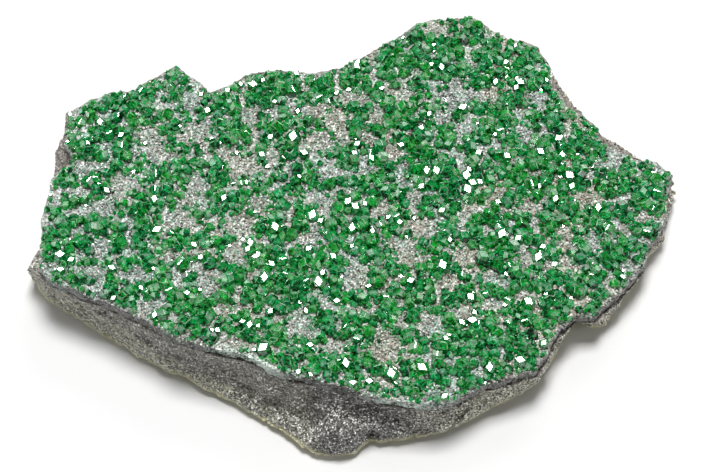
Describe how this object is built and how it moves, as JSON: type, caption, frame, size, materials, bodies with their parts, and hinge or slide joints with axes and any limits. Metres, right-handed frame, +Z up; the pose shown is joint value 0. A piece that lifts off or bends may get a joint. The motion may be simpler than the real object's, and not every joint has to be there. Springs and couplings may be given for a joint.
{
  "type": "uvarovite garnet specimen",
  "caption": "Flat hand specimen of dark chromite rock with a druse of small green garnet crystals over its upper side.",
  "frame": {"origin": "on the flat rest face's plane, under the middle of the specimen's box", "axes": "+X along the plate's length, towards its narrower right end; +Y to the back edge; +Z up, out of the druse"},
  "size_m": [0.081, 0.0593, 0.0124],
  "materials": {
    "chromite": "rough broken granular rock with a fine metallic sparkle",
    "uvarovite": "glassy crystal faces on a sugary crust"
  },
  "bodies": {
    "root": {"chromite_matrix": "chromite", "uvarovite_druse": "uvarovite"}
  },
  "joints": []
}
